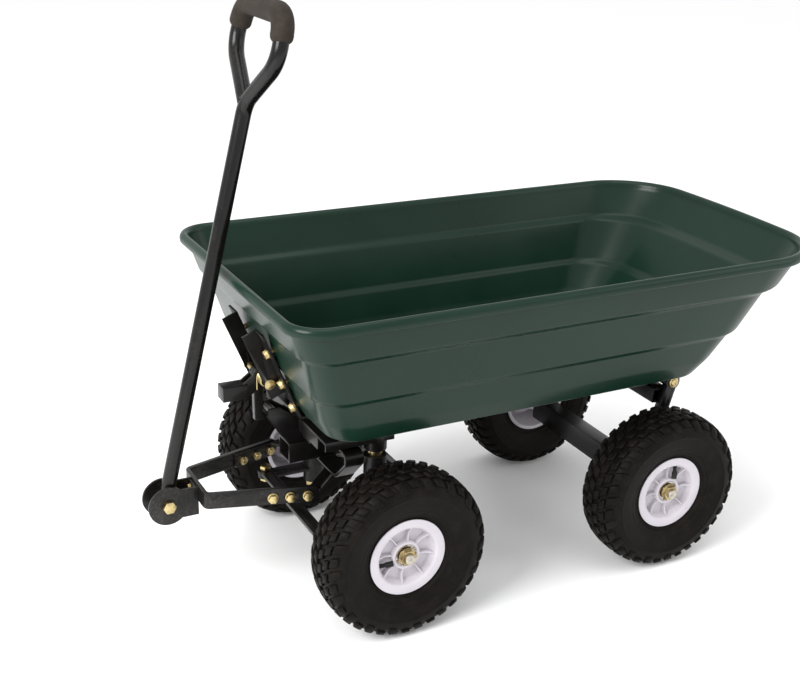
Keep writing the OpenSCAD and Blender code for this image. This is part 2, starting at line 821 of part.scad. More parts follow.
module tie_rod() {
    color("#26262a") eye_link(-kingpin_y, kingpin_y, axle_x + steer_crank, tie_z, 20,
        link_pin_r + 0.4, link_pin_r + 0.05);
}

// The left knuckle: a post turning on its kingpin, a socket for the stub axle, and
// the flat arms for the tie rod and, where asked, the drag link
module knuckle(with_drag_arm) {
    arm_z = tie_z - gap - link_t;
    color("#202022") difference() {
        union() {
            rod_z(post_r, axle_x, kingpin_y, post_bottom, post_top);
            rod_y(13, axle_x, axle_z, kingpin_y, leg_y1);
            box([axle_x, kingpin_y - 12, arm_z], [axle_x + steer_crank, kingpin_y + 12, arm_z + link_t]);
            rod_z(12, axle_x + steer_crank, kingpin_y, arm_z, arm_z + link_t);
            if (with_drag_arm) {
                box([axle_x - drag_crank, kingpin_y - 11, plate_z0], [axle_x, kingpin_y + 11, plate_z1]);
                rod_z(11, axle_x - drag_crank, kingpin_y, plate_z0, plate_z1);
            }
        }
        rod_z(kingpin_r + 0.05, axle_x, kingpin_y, post_bottom - 1, post_top + 1);
        rod_y(axle_r, axle_x, axle_z, kingpin_y + post_r - 3, leg_y1 + 1);
        rod_z(link_pin_r, axle_x + steer_crank, kingpin_y, arm_z - 1, arm_z + link_t + 1);
        rod_z(link_pin_r, axle_x - drag_crank, kingpin_y, plate_z0 - 1, plate_z1 + 1);
    }
}

module stub_axle() {
    color("#b9b6a6") {
        rod_y(axle_r, axle_x, axle_z, kingpin_y + post_r - 3, axle_end);
        rod_y(collar_r, axle_x, axle_z, leg_y1, collar_end);
    }
}

module knuckle_bolts(with_drag_pin) {
    x = axle_x + steer_crank;
    top = tie_z + link_t + gap;
    low = tie_z - gap - link_t;
    drag_x = axle_x - drag_crank;
    drag_low = plate_z0 - link_t - 2 * gap;
    color("#c9a94a") {
        rod_z(link_pin_r, x, kingpin_y, low - 8, top + 1);
        hex_z(9, x, kingpin_y, top, top + 7);
        hex_z(9, x, kingpin_y, low - 6, low);
        axle_nut(axle_x, 1);
        if (with_drag_pin) {
            rod_z(link_pin_r, drag_x, kingpin_y, drag_low - 6, plate_z1 + 1);
            hex_z(8, drag_x, kingpin_y, plate_z1, plate_z1 + 5);
            hex_z(8, drag_x, kingpin_y, drag_low - 6, drag_low);
        }
    }
}

// ---------- the cart ----------

front_saddle();
frame_rails();
pivot_hoop();
nose_tube();
latch_strike();
rear_cross_tube();
rear_legs();
rear_axle_beam();
rear_axle();
rear_axle_nuts();
kingpin_bolts();
drawbar_pivot_bolt();
frame_bolts();
rest_pads();
tray_hinge_rod();
tray_tub();
tray_rail_left();
tray_rail_right();
tray_hinge_bar();
latch_pin();
tray_bolts();
latch_lever();
latch_hook();
latch_spring();
drawbar();
steering_plate();
pivot_bushing();
handle_yoke();
drawbar_bolts();
handle_pivot_bolt();
handle_tube();
foam_grip();
drag_link();
tie_rod();
knuckle(true);  // knuckle_left
mirror([0, 1, 0]) knuckle(false);  // knuckle_right
stub_axle();  // stub_axle_left
mirror([0, 1, 0]) stub_axle();  // stub_axle_right
knuckle_bolts(true);  // knuckle_bolts_left
mirror([0, 1, 0]) knuckle_bolts(false);  // knuckle_bolts_right
on_axle(1, 1, 0) tyre();  // tyre_front_left
on_axle(1, -1, 0) tyre();  // tyre_front_right
on_axle(-1, 1, 0) tyre();  // tyre_rear_left
on_axle(-1, -1, 0) tyre();  // tyre_rear_right
on_axle(1, 1, 15) rim();  // rim_front_left
on_axle(1, -1, 0) rim();  // rim_front_right
on_axle(-1, 1, -110) rim();  // rim_rear_left
on_axle(-1, -1, 60) rim();  // rim_rear_right
on_axle(1, 1, 0) bearings();  // bearings_front_left
on_axle(1, -1, 0) bearings();  // bearings_front_right
on_axle(-1, 1, 0) bearings();  // bearings_rear_left
on_axle(-1, -1, 0) bearings();  // bearings_rear_right
on_axle(1, 1, 15) valve();  // valve_front_left
on_axle(1, -1, 0) valve();  // valve_front_right
on_axle(-1, 1, -110) valve();  // valve_rear_left
on_axle(-1, -1, 60) valve();  // valve_rear_right
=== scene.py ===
import json
import math

import bmesh
import bpy
from mathutils import Matrix, Vector

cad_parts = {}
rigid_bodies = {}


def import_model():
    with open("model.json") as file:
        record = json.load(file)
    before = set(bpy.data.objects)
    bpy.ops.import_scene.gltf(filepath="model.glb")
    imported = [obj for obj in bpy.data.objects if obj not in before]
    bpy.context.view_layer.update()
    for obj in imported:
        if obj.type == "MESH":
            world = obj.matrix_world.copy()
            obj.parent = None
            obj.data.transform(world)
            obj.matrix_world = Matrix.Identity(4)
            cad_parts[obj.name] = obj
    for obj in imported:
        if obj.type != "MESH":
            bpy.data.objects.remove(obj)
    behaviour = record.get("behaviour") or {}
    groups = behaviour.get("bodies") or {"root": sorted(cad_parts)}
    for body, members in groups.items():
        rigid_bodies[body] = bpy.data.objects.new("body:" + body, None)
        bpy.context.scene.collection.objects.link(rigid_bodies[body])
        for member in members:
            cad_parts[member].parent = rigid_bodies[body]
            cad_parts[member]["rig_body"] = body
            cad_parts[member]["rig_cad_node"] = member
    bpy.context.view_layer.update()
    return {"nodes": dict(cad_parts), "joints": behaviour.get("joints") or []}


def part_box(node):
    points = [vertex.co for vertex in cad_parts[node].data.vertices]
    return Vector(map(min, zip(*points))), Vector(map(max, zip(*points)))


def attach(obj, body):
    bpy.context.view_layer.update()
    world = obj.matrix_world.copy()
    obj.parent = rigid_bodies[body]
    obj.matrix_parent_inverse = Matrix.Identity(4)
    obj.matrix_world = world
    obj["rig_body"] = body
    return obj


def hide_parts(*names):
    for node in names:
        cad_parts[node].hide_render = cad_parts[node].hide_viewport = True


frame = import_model()

# ---------------------------------------------------------------- studio
# The cart stands on a plain pale floor in a pale room, lit by broad soft lights: the
# main one in front of the cart, so that its front end is the brightest. The camera
# looks down at its left side from in front.
camera_place = Vector((0.987, 1.599, 1.088))
camera_yaw, camera_pitch, camera_roll = 0.487, 0.379, 0.032
camera_lens = 56.88
floor_tone = (0.97, 0.97, 0.97)
room_tone = (1.0, 1.0, 1.0, 1.0)
room_glow = 1.0

scene = bpy.context.scene
scene.view_settings.view_transform = "Standard"
ahead = Vector((-math.sin(camera_yaw) * math.cos(camera_pitch),
                -math.cos(camera_yaw) * math.cos(camera_pitch), -math.sin(camera_pitch)))
aside = ahead.cross(Vector((0, 0, 1))).normalized()
above = aside.cross(ahead)
right = aside * math.cos(camera_roll) + above * math.sin(camera_roll)
upward = right.cross(ahead)
bpy.ops.object.camera_add()
camera = bpy.context.object
camera.name = "studio_camera"
camera.data.sensor_width = 36
camera.data.lens = camera_lens
camera.data.clip_end = 60
turned = Matrix((right, upward, -ahead)).transposed().to_4x4()
camera.matrix_world = Matrix.Translation(camera_place) @ turned
scene.camera = camera

scene.world = bpy.data.worlds.new("pale_room")
scene.world.use_nodes = True
room = scene.world.node_tree.nodes["Background"]
room.inputs["Color"].default_value = room_tone
room.inputs["Strength"].default_value = room_glow

# place, where it points, its width and its power in watts
for place, target, width, power in (((2.6, 0.9, 1.9), (0.3, 0, 0.3), 1.6, 100),
                                    ((0.2, 0.4, 3.2), (0, 0, 0.2), 2.4, 30),
                                    ((-2.4, 1.8, 1.6), (-0.3, 0, 0.3), 1.8, 12)):
    bpy.ops.object.light_add(type="AREA", location=place)
    lamp = bpy.context.object
    lamp.data.shape = "SQUARE"
    lamp.data.size = width
    lamp.data.energy = power
    lamp.rotation_euler = (Vector(target) - Vector(place)).to_track_quat("-Z", "Y").to_euler()

bpy.ops.mesh.primitive_plane_add(size=60, location=(0, 0, 0))
floor = bpy.context.object
floor.name = "studio_floor"
floor_paint = bpy.data.materials.new("floor_paint")
floor_paint.use_nodes = True
floor_paint.node_tree.nodes["Principled BSDF"].inputs["Base Color"].default_value = (*floor_tone, 1)
floor_paint.node_tree.nodes["Principled BSDF"].inputs["Roughness"].default_value = 0.9
floor_paint.node_tree.nodes["Principled BSDF"].inputs["Specular IOR Level"].default_value = 0.1
floor.data.materials.append(floor_paint)

# ---------------------------------------------------------------- welded frame
# Saddle plate, rails, hoop, nose tube, latch strike and the rear frame: cut, bent and
# welded mild steel, dipped in gloss black enamel. Every cut edge is eased by the paint.
enamel_deep = (0.0034, 0.0030, 0.0029, 1)
enamel_dusty = (0.0125, 0.0110, 0.0100, 1)
paint_round = 0.0009
peel_scale = 700


class Shade:
    """A socket in a material's nodes. Sums and products of it add Math nodes."""

    def __init__(self, tree, socket):
        self.tree = tree
        self.socket = socket

    def node(self, kind, settings, inputs, output=0):
        made = self.tree.nodes.new("ShaderNode" + kind)
        for key, value in settings.items():
            if key == "stops":
                ramp = made.color_ramp.elements
                for spare in range(len(value) - 2):
                    ramp.new(0.5)
                for element, (at, tone) in zip(ramp, value):
                    element.position = at
                    element.color = tone
            else:
                setattr(made, key, value)
        for key, value in inputs.items():
            if isinstance(value, Shade):
                self.tree.links.new(value.socket, made.inputs[key])
            else:
                made.inputs[key].default_value = value
        return Shade(self.tree, made.outputs[output])

    def maths(self, operation, a, b):
        return self.node("Math", {"operation": operation}, {0: a, 1: b})

    def __add__(self, other):
        return self.maths("ADD", self, other)

    def __mul__(self, other):
        return self.maths("MULTIPLY", self, other)

    __radd__ = __add__
    __rmul__ = __mul__

    def noise(self, scale, detail=3.0, roughness=0.5):
        return self.node("TexNoise", {}, {"Vector": self, "Scale": scale, "Detail": detail,
                                          "Roughness": roughness})

    def cells(self, scale):
        return self.node("TexVoronoi", {}, {"Vector": self, "Scale": scale})

    def between(self, low, high):
        return self.node("MapRange", {"interpolation_type": "SMOOTHSTEP"},
                         {"Value": self, "From Min": low, "From Max": high})

    def stretched(self, x, y, z):
        return self.node("Mapping", {}, {"Vector": self, "Scale": (x, y, z)})

    def tint(self, dark, light):
        return self.node("Mix", {"data_type": "RGBA"}, {0: self, 6: dark, 7: light}, 2)

    def bump(self, strength, depth):
        return self.node("Bump", {}, {"Height": self, "Strength": strength, "Distance": depth})

    def to(self, shader, socket):
        self.tree.links.new(self.socket, shader.inputs[socket])


def new_finish(name, metallic=0.0, coat=0.0, coat_roughness=0.1, specular=0.2):
    material = bpy.data.materials.new(name)
    material.use_nodes = True
    tree = material.node_tree
    shader = tree.nodes["Principled BSDF"]
    shader.inputs["Metallic"].default_value = metallic
    shader.inputs["Specular IOR Level"].default_value = specular
    shader.inputs["Coat Weight"].default_value = coat
    shader.inputs["Coat Roughness"].default_value = coat_roughness
    place = Shade(tree, tree.nodes.new("ShaderNodeTexCoord").outputs["Object"])
    return material, shader, place


def black_enamel(name, gloss, dust_and_lit_tone=enamel_dusty):
    material, shader, place = new_finish(name, coat=0.15, coat_roughness=0.12)
    cloud = place.noise(24, 4)
    dust = (place.noise(9, 5, 0.6) * 0.7 + place.noise(260, 2) * 0.3).between(0.46, 0.72)
    # patches of the given tone on the deep black: dust on the frame; on the steering parts the lighter tone
    # is partly dust, partly painted highlight
    (dust * 0.8).tint(enamel_deep, dust_and_lit_tone).to(shader, "Base Color")
    (cloud * 0.14 + dust * 0.12 + gloss).to(shader, "Roughness")
    (place.noise(peel_scale, 2) * 0.6 + place.noise(90, 3) * 0.4).bump(0.16, 0.0006).to(shader, "Normal")
    return material


def alone(piece):
    bpy.ops.object.select_all(action="DESELECT")
    piece.select_set(True)
    bpy.context.view_layer.objects.active = piece


def apply_modifier(piece, kind, **values):
    alone(piece)
    bpy.ops.object.modifier_add(type=kind)
    modifier = piece.modifiers[-1]
    for key, value in values.items():
        setattr(modifier, key, value)
    bpy.ops.object.modifier_apply(modifier=modifier.name)


def ease_edges(piece, width, segments=2, sharper_than=32):
    apply_modifier(piece, "BEVEL", width=width, segments=segments, limit_method="ANGLE",
                   angle_limit=math.radians(sharper_than), use_clamp_overlap=True)
    bpy.ops.object.shade_smooth_by_angle(angle=math.radians(38))


def fitted(piece, body, slot_name, material, *replaced):
    """The piece takes its finish, stands for its CAD nodes and rides on its body."""
    piece.data.materials.clear()
    piece.data.materials.append(material)
    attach(piece, body)
    if replaced:
        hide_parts(*replaced)
    return piece


def steelwork(node, body, slot_name, material, width=paint_round, segments=2):
    """A CAD node's own shape, merged into whole faces and eased along its edges."""
    alone(frame["nodes"][node])
    bpy.ops.object.duplicate()
    piece = bpy.context.object
    piece.name = node + "_shaped"
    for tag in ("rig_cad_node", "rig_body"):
        del piece[tag]
    piece.parent = None
    bpy.ops.object.mode_set(mode="EDIT")
    bpy.ops.mesh.select_all(action="SELECT")
    bpy.ops.mesh.remove_doubles(threshold=0.00001)
    bpy.ops.mesh.dissolve_limited(angle_limit=math.radians(0.5))
    bpy.ops.mesh.normals_make_consistent(inside=False)
    bpy.ops.object.mode_set(mode="OBJECT")
    ease_edges(piece, width, segments)
    return fitted(piece, body, slot_name, material, node)


frame_enamel = black_enamel("frame_enamel", 0.24)
for node in ("front_saddle", "frame_rails", "nose_tube", "latch_strike", "rear_cross_tube",
             "rear_legs", "rear_axle_beam"):
    steelwork(node, "chassis", "black_paint", frame_enamel)
steelwork("pivot_hoop", "chassis", "black_paint", frame_enamel, 0.0012, 3)

# ---------------------------------------------------------------- frame welds
# Fillet welds where the frame's parts meet: overlapping ripples of weld metal, painted
# over with the frame. They lie half sunk in the corner they close.
bead = 0.0026
ripple_pitch = 0.0022


def lofted(name, rings):
    """A skin through rings of points: a circle is laid on the first and extruded on."""
    bpy.ops.object.select_all(action="DESELECT")
    bpy.ops.mesh.primitive_circle_add(vertices=len(rings[0]), radius=1)
    piece = bpy.context.object
    piece.name = name
    for vertex, point in zip(piece.data.vertices, rings[0]):
        vertex.co = point
    piece.matrix_world = Matrix.Identity(4)
    bpy.ops.object.mode_set(mode="EDIT")
    bpy.ops.mesh.select_all(action="SELECT")
    for before, after in zip(rings, rings[1:]):
        bpy.ops.mesh.extrude_region_move()
        skin = bmesh.from_edit_mesh(piece.data)
        for vertex in skin.verts:
            if vertex.select:
                spot = vertex.co
                near = min(range(len(before)), key=lambda k: (spot - before[k]).length_squared)
                vertex.co = after[near]
        bmesh.update_edit_mesh(piece.data)
    bpy.ops.mesh.select_all(action="SELECT")
    bpy.ops.mesh.fill_holes(sides=0)
    bpy.ops.mesh.select_all(action="SELECT")
    bpy.ops.mesh.normals_make_consistent(inside=False)
    bpy.ops.object.mode_set(mode="OBJECT")
    return piece


def rod_rings(path, girth, sides):
    """Rings round a path, without twist. girth gives the radius at each point."""
    rings = []
    across = None
    for i, point in enumerate(path):
        way = (path[min(i + 1, len(path) - 1)] - path[max(i - 1, 0)]).normalized()
        if across is None:
            across = way.cross(Vector((0.3, 1, 0.2))).normalized()
        across = (across - way * across.dot(way)).normalized()
        other = way.cross(across)
        rings.append([point + girth(i) * (across * math.cos(2 * math.pi * k / sides)
                                          + other * math.sin(2 * math.pi * k / sides))
                      for k in range(sides)])
    return rings


def weld_path(start, end):
    steps = max(4, int((end - start).length / ripple_pitch * 2))
    return [start.lerp(end, i / steps) for i in range(steps + 1)]


def joined(name, parts):
    bpy.ops.object.select_all(action="DESELECT")
    for part in parts:
        part.select_set(True)
    bpy.context.view_layer.objects.active = parts[0]
    bpy.ops.object.join()
    piece = bpy.context.object
    piece.name = name
    return piece


def weld_bead(path):
    def girth(i):
        ends = 0.55 if i in (0, len(path) - 1) else 1.0
        return bead * ends * (1.0 if i % 2 else 0.84)
    run = lofted("weld", rod_rings(path, girth, 8))
    bpy.ops.object.shade_smooth()
    return run


rail_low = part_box("frame_rails")[0]
saddle_low, saddle_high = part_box("front_saddle")
cross_low, cross_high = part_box("rear_cross_tube")
nose_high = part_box("nose_tube")[1]
hoop_low, hoop_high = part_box("pivot_hoop")
leg_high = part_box("rear_legs")[1]
beam_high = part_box("rear_axle_beam")[1]
rail_mid = 0.053
rail_half = 0.0125
nose_half = 0.020
leg_inside = 0.1372
kingpin = (0.235, 0.112)
boss_r = 0.0172
runs = []
for side in (1, -1):
    for edge in (-rail_half, rail_half):
        y = side * (rail_mid + edge)
        runs.append(weld_path(Vector((cross_high.x, y, rail_low.z + 0.004)),
                              Vector((cross_high.x, y, cross_high.z - 0.001))))
        runs.append(weld_path(Vector((saddle_low.x + 0.01, y, saddle_high.z - 0.004)),
                              Vector((saddle_low.x + 0.05, y, saddle_high.z - 0.004))))
    y = side * nose_half
    runs.append(weld_path(Vector((hoop_low.x, y, hoop_low.z + 0.0045)),
                          Vector((hoop_high.x, y, hoop_low.z + 0.0045))))
    runs.append(weld_path(Vector((hoop_low.x, y, nose_high.z)), Vector((hoop_high.x, y, nose_high.z))))
    for x in (hoop_low.x, hoop_high.x):
        runs.append(weld_path(Vector((x, side * 0.042, rail_low.z)), Vector((x, side * 0.064, rail_low.z))))
    runs.append(weld_path(Vector((leg_high.x - 0.022, side * leg_inside, beam_high.z + 0.0005)),
                          Vector((leg_high.x - 0.004, side * leg_inside, beam_high.z + 0.0005))))
    for z in (cross_low.z + 0.002, cross_high.z - 0.002):
        runs.append(weld_path(Vector((cross_low.x + 0.003, side * 0.1375, z)),
                              Vector((cross_high.x - 0.003, side * 0.1375, z))))
    ring = [Vector((kingpin[0] + boss_r * math.cos(a * math.pi / 24),
                    side * kingpin[1] + boss_r * math.sin(a * math.pi / 24), saddle_high.z - 0.0042))
            for a in range(49)]
    runs.append(ring)
frame_welds = joined("frame_welds", [weld_bead(run) for run in runs])
fitted(frame_welds, "chassis", "black_paint", frame_enamel)

# ---------------------------------------------------------------- zinc fasteners
# Bolts, nuts, washers, pins and rods: steel plated with yellow zinc, whose passivated
# skin drifts from straw to brownish gold.
zinc_straw = (0.58, 0.47, 0.23, 1)
zinc_brown = (0.24, 0.165, 0.08, 1)
head_round = 0.0006
# the floor bolts' flat heads stand this far proud of the tub's floor
head_proud, tub_floor, slope_foot = 0.0005, 0.307, 0.331


def yellow_zinc(name, brown_share):
    material, shader, place = new_finish(name, metallic=1.0)
    drift = place.noise(60, 4, 0.6).between(0.34, 0.66)
    stain = place.noise(320, 3).between(0.52, 0.7)
    (drift * brown_share + stain * 0.35).tint(zinc_straw, zinc_brown).to(shader, "Base Color")
    (place.noise(140, 3) * 0.2 + stain * 0.18 + 0.2).to(shader, "Roughness")
    place.noise(900, 2).bump(0.12, 0.0004).to(shader, "Normal")
    return material


bolt_zinc = yellow_zinc("bolt_zinc", 0.5)
old_zinc = yellow_zinc("axle_nut_zinc", 0.95)
for node, body in (("kingpin_bolts", "chassis"), ("drawbar_pivot_bolt", "chassis"),
                   ("frame_bolts", "chassis"), ("tray_hinge_rod", "chassis"),
                   ("latch_pin", "tray"), ("tray_bolts", "tray"), ("drawbar_bolts", "tongue"),
                   ("handle_pivot_bolt", "tongue")):
    steelwork(node, body, "yellow_zinc", bolt_zinc, head_round)
for vertex in bpy.data.objects["tray_bolts_shaped"].data.vertices:
    if abs(vertex.co.z - tub_floor) < 0.001 and vertex.co.x < slope_foot:
        vertex.co.z += head_proud
for node, body in (("rear_axle_nuts", "chassis"), ("knuckle_bolts_left", "knuckle_left"),
                   ("knuckle_bolts_right", "knuckle_right")):
    steelwork(node, body, "yellow_zinc", old_zinc, head_round)

# ---------------------------------------------------------------- axles and pads
# Turned axles in dull bright zinc, each ending in a stub beyond its wheel nut, and the
# two rubber pads that the lowered tray's rails come down on.
material, shader, place = new_finish("axle_steel", metallic=1.0)
wear = place.stretched(1, 0.15, 1).noise(240, 4, 0.6).between(0.4, 0.7)
(wear * 0.7).tint((0.50, 0.47, 0.40, 1), (0.24, 0.20, 0.15, 1)).to(shader, "Base Color")
(wear * 0.2 + 0.28).to(shader, "Roughness")
place.stretched(1, 0.05, 1).noise(1600, 2).bump(0.1, 0.0002).to(shader, "Normal")
axle_steel = material
for node, body in (("rear_axle", "chassis"), ("stub_axle_left", "knuckle_left"),
                   ("stub_axle_right", "knuckle_right")):
    steelwork(node, body, "axle_steel", axle_steel, 0.001)

material, shader, place = new_finish("pad_rubber")
grime = place.noise(70, 4).between(0.4, 0.75)
(grime * 0.6).tint((0.010, 0.010, 0.010, 1), (0.035, 0.032, 0.030, 1)).to(shader, "Base Color")
(grime * 0.2 + 0.6).to(shader, "Roughness")
place.cells(900).bump(0.25, 0.0003).to(shader, "Normal")
pad_rubber = material
steelwork("rest_pads", "chassis", "black_rubber", pad_rubber, 0.0012, 3)

# ---------------------------------------------------------------- tyres
# Pneumatic tyres of black rubber: a smooth casing with raised rings on its sidewalls,
# and a knobby tread of staggered blocks in a chevron, the outer lugs wrapping the
# shoulder. The blocks are moulded in one with the casing.
# the side each wheel is on, and how far it is turned
wheel_spots = {"front_left": (1, 15), "front_right": (-1, 0),
               "rear_left": (1, -110), "rear_right": (-1, 60)}
crown_edge = [(0.1299, 0), (0.1295, 0.0155), (0.1270, 0.0285), (0.1230, 0.0360),
              (0.1160, 0.0408), (0.1060, 0.0422), (0.0950, 0.0412), (0.0820, 0.0383),
              (0.0700, 0.0328), (0.0620, 0.0283), (0.0582, 0.0260)]
inner_edge = [(0.0582, 0.0180), (0.0700, 0.0240), (0.0820, 0.0300), (0.0950, 0.0330),
              (0.1080, 0.0330), (0.1160, 0.0270), (0.1200, 0.0160), (0.1205, 0)]
tread_depth = 0.0042
blocks_round = 36
side_rings = ((0.1005, 0.0011), (0.0745, 0.0010), (0.0668, 0.0014))
ring_spread = 0.0013
wall_sink = 0.0008      # how far the plain sidewall lies under the outer line
tread_run, whole_run = 0.055, 0.1015
half_width = 0.0424


def crown_at(run):
    """Point on the tyre's outer line at that length from its centre, and its normal."""
    left = run
    for (r0, y0), (r1, y1) in zip(crown_edge, crown_edge[1:]):
        length = math.hypot(r1 - r0, y1 - y0)
        if left <= length:
            share = left / length
            return r0 + (r1 - r0) * share, y0 + (y1 - y0) * share
        left -= length
    return crown_edge[-1]


def crown_smooth(run):
    """The outer line with its corners rounded, as a mean over a short length."""
    spread = 0.0035
    spots = [crown_at(abs(run + spread * (k - 3) / 3)) for k in range(7)]
    r = sum(s[0] for s in spots) / 7
    y = sum(s[1] * (1 if run + spread * (k - 3) / 3 >= 0 else -1)
            for k, s in enumerate(spots)) / 7
    return r, y


def crown_normal(run):
    r0, y0 = crown_smooth(run - 0.002)
    r1, y1 = crown_smooth(run + 0.002)
    length = math.hypot(r1 - r0, y1 - y0)
    return (y1 - y0) / length, -(r1 - r0) / length


def casing_depth(run):
    return tread_depth * max(0.0, min(1.0, (0.056 - run) / 0.014))


def turned_ring(name, profile, steps):
    """A closed outline of [radius, across] points, spun about the Y axis."""
    bpy.ops.object.select_all(action="DESELECT")
    bpy.ops.mesh.primitive_circle_add(vertices=len(profile), radius=1)
    piece = bpy.context.object
    piece.name = name
    for vertex, (r, y) in zip(piece.data.vertices, profile):
        vertex.co = (r, y, 0)
    bpy.ops.object.mode_set(mode="EDIT")
    bpy.ops.mesh.select_all(action="SELECT")
    bpy.ops.mesh.spin(steps=steps, angle=2 * math.pi, center=(0, 0, 0), axis=(0, 1, 0))
    bpy.ops.mesh.select_all(action="SELECT")
    bpy.ops.mesh.remove_doubles(threshold=0.00001)
    bpy.ops.mesh.normals_make_consistent(inside=False)
    bpy.ops.object.mode_set(mode="OBJECT")
    return piece


def casing_outline():
    half = []
    run = 0.0
    while run < whole_run:
        r, y = crown_smooth(run)
        nr, ny = crown_normal(run)
        sink = casing_depth(run)
        lift = -sink
        if run > 0.05:
            lift += sum(height * math.exp(-((r - at) / ring_spread) ** 2)
                        for at, height in side_rings) - wall_sink
        half.append((r + nr * lift, min(y + ny * lift, half_width)))
        run += 0.0042 if run < tread_run else 0.0016
    half.append(crown_edge[-1])
    outer = half + inner_edge
    return outer + [(r, -y) for r, y in reversed(outer[1:-1])]


def tread_block(start, end, early, late, skew, name):
    """One block: a cube, bevelled and cut once each way, then laid on the crown. It runs
    from start to end over the crown and from early to late round it, as shares of a pitch."""
    bpy.ops.object.select_all(action="DESELECT")
    bpy.ops.mesh.primitive_cube_add(size=1)
    block = bpy.context.object
    block.name = name
    bpy.ops.object.mode_set(mode="EDIT")
    bpy.ops.mesh.select_all(action="SELECT")
    bpy.ops.mesh.subdivide(number_cuts=1)
    bpy.ops.object.mode_set(mode="OBJECT")
    pitch = 2 * math.pi / blocks_round
    for vertex in block.data.vertices:
        u, v, w = (vertex.co.x + 0.5, vertex.co.y + 0.5, vertex.co.z + 0.5)
        taper = 0.10 * w
        u = early + (late - early) * (taper + u * (1 - 2 * taper))
        v = start + (end - start) * (taper * 0.7 + v * (1 - 1.4 * taper))
        angle = pitch * (u + skew * (v - start) / 0.0135)
        r, y = crown_smooth(v)
        nr, ny = crown_normal(v)
        sink = (casing_depth(v) + wall_sink) * (1 - w) + 0.0001
        r, y = r - nr * sink, y - ny * sink
        vertex.co = (r * math.cos(angle), y, r * math.sin(angle))
    return block


def whole_tyre():
    parts = [turned_ring("casing", casing_outline(), 96)]
    blocks = []
    for side in (1, -1):
        shift = 0.0 if side > 0 else 0.5
        for row, (start, end, early, late, skew, offset) in enumerate((
                (0.0012, 0.0128, 0.10, 0.84, 0.30, 0.0), (0.0150, 0.0272, 0.10, 0.82, 0.30, 0.55),
                (0.0295, 0.0440, 0.08, 0.78, 0.22, 0.05))):
            for k in range(blocks_round):
                longer = 0.0075 if row == 2 and k % 2 else 0.0
                place = k + shift + offset
                block = tread_block(start, end + longer, place + early, place + late, skew, "block")
                if side < 0:
                    for vertex in block.data.vertices:
                        vertex.co.y = -vertex.co.y
                    alone(block)
                    bpy.ops.object.mode_set(mode="EDIT")
                    bpy.ops.mesh.select_all(action="SELECT")
                    bpy.ops.mesh.flip_normals()
                    bpy.ops.object.mode_set(mode="OBJECT")
                blocks.append(block)
    tread = joined("tread", blocks)
    ease_edges(tread, 0.0006, 1, 40)
    tyre = joined("tyre_made", [parts[0], tread])
    bpy.ops.object.shade_smooth_by_angle(angle=math.radians(42))
    return tyre


def onto_axle(pattern, name, spot):
    """A copy of a wheel piece made about the Y axis, outer face to +Y, on its own axle."""
    side, phase = wheel_spots[spot]
    alone(pattern)
    bpy.ops.object.duplicate()
    piece = bpy.context.object
    piece.name = name + "_" + spot
    low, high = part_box("tyre_" + spot)
    centre = (low + high) / 2
    turn = Matrix.Rotation(math.radians(phase), 4, "Y")
    face = Matrix.Identity(4) if side > 0 else Matrix.Rotation(math.pi, 4, "X")
    piece.data.transform(Matrix.Translation(centre) @ face @ turn)
    return piece


material, shader, place = new_finish("tyre_rubber", specular=0.08)
dust = (place.noise(38, 5, 0.65) * 0.65 + place.noise(500, 2) * 0.35).between(0.44, 0.66)
(dust * 0.75).tint((0.0038, 0.0028, 0.0022, 1), (0.0110, 0.0088, 0.0074, 1)).to(shader, "Base Color")
(dust * 0.16 + place.noise(90, 3) * 0.1 + 0.44).to(shader, "Roughness")
(place.noise(1300, 3) * 0.5 + place.noise(160, 3) * 0.5).bump(0.3, 0.0006).to(shader, "Normal")
tyre_rubber = material
tyre_pattern = whole_tyre()
for spot in wheel_spots:
    piece = onto_axle(tyre_pattern, "knobby_tyre", spot)
    fitted(piece, "wheel_" + spot, "tyre_rubber", tyre_rubber, "tyre_" + spot)
bpy.data.objects.remove(tyre_pattern)

# ---------------------------------------------------------------- rims
# One-piece rims moulded in white nylon: a broad flat ring outside, a dished centre with
# eight thin ribs, and a hub bored for the bearings. A faint lilac cast and some dirt lie
# in the dish.
rim_outline = [(10, -12), (17.5, -12), (17.5, -24), (22, -24), (22, 10), (42, 10), (49, 25.4),
               (53.7, 25.4), (53.7, -29.6), (60, -29.6), (60, -27.6), (57.7, -27.2),
               (57.7, 27.2), (60, 27.6), (60, 29.6), (48, 29.3), (45.6, 27.6), (41.5, 15.4), (39.5, 14),
               (26, 13.6), (22.4, 14.6), (21.6, 23.4), (21, 24), (17.5, 24), (17.5, 12), (10, 12)]
rib_count = 8
# a rib starts at the hub and ends at the dish's rim; its crest rises outwards and sags
rib_start, rib_reach, rib_foot = 0.0208, 0.0245, 0.0128
crest_start, crest_rise, crest_sag = 0.0212, 0.0048, 0.0034
rib_foot_wide, rib_crest_wide = 0.0030, 0.0022
rim_white = (0.53, 0.50, 0.54, 1)
rim_grey = (0.33, 0.31, 0.33, 1)

